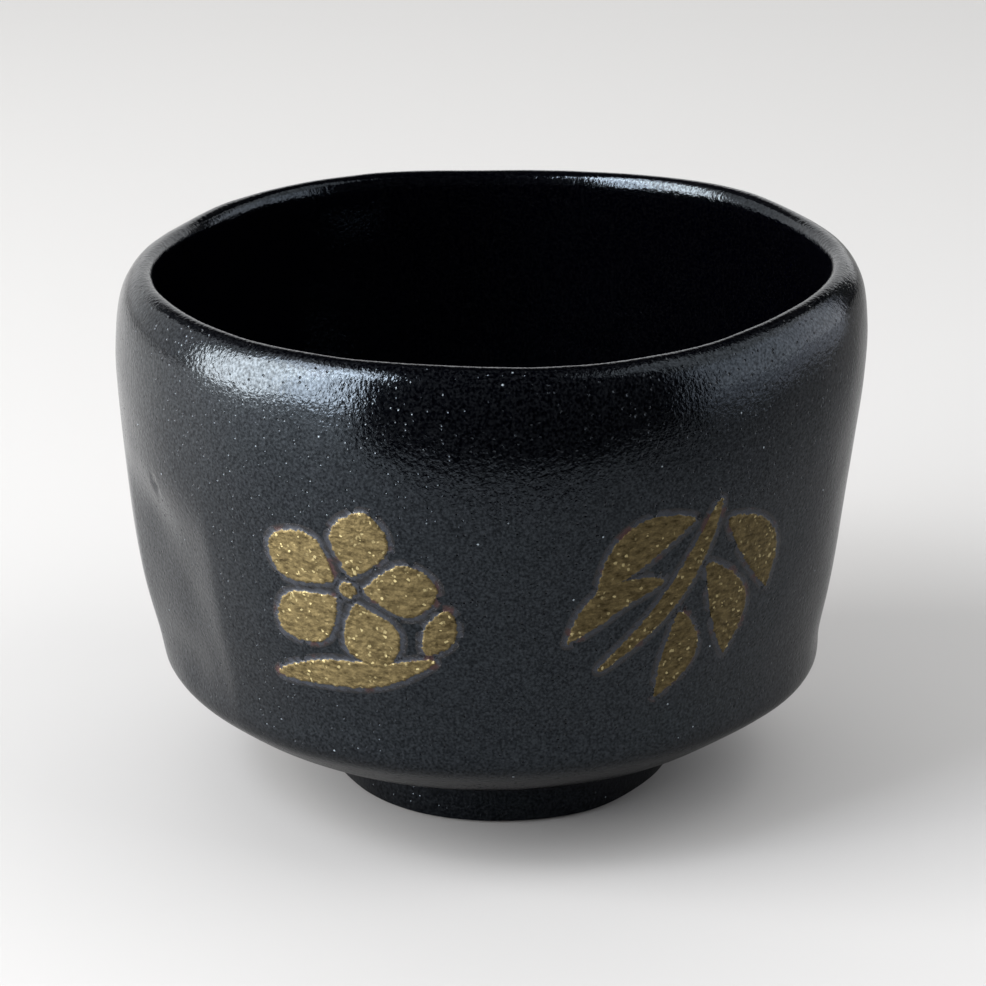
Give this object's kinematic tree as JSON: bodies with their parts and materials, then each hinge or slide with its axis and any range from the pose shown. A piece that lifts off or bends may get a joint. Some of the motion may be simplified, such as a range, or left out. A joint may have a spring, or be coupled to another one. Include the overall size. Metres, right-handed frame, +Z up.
{
  "type": "tea bowl",
  "caption": "Hand-formed black tea bowl for whisked tea: upright wall, low ridge, luted foot ring, wavy lip and brushed gold plant motifs.",
  "frame": {"origin": "middle of the bowl's footprint box, on the table plane under the foot ring", "axes": "+Z up through the mouth, -Y towards the decorated face"},
  "size_m": [0.121, 0.12, 0.0884],
  "materials": {
    "clay": "matte",
    "black_glaze": "satin",
    "gold": "satin"
  },
  "bodies": {
    "root": {"clay_body": "clay", "foot_ring": "clay", "outer_glaze": "black_glaze", "inner_glaze": "black_glaze", "foot_recess_glaze": "black_glaze", "gold_blossom_petal_1": "gold", "gold_blossom_petal_2": "gold", "gold_blossom_petal_3": "gold", "gold_blossom_petal_4": "gold", "gold_blossom_petal_5": "gold", "gold_blossom_heart": "gold", "gold_blossom_twig": "gold", "gold_bud": "gold", "gold_bamboo_stem": "gold", "gold_bamboo_leaf_1": "gold", "gold_bamboo_leaf_2": "gold", "gold_bamboo_leaf_3": "gold", "gold_bamboo_leaf_4": "gold", "gold_bamboo_leaf_5": "gold"}
  },
  "joints": []
}
